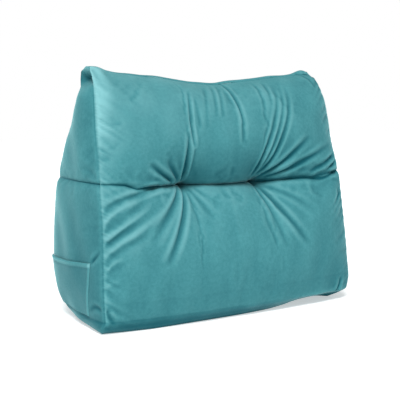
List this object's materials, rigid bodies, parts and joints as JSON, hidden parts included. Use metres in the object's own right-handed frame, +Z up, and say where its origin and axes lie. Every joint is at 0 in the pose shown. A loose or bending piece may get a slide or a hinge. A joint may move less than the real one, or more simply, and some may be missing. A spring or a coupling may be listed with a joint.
{
  "type": "triangle backrest cushion",
  "caption": "Wedge-shaped velvet backrest cushion with triangular side gussets, a deep tufted crease across its front and a flat patch pocket on its left side.",
  "frame": {"origin": "on the floor, under the middle of the cushion's box", "axes": "+X to the right as seen from the front, +Y from the front to the back, +Z up"},
  "size_m": [0.6416, 0.304, 0.514],
  "materials": {
    "velvet": "teal short-pile velvet, soft sheen"
  },
  "bodies": {
    "root": {"cushion": "velvet", "pocket": "velvet"}
  },
  "joints": []
}
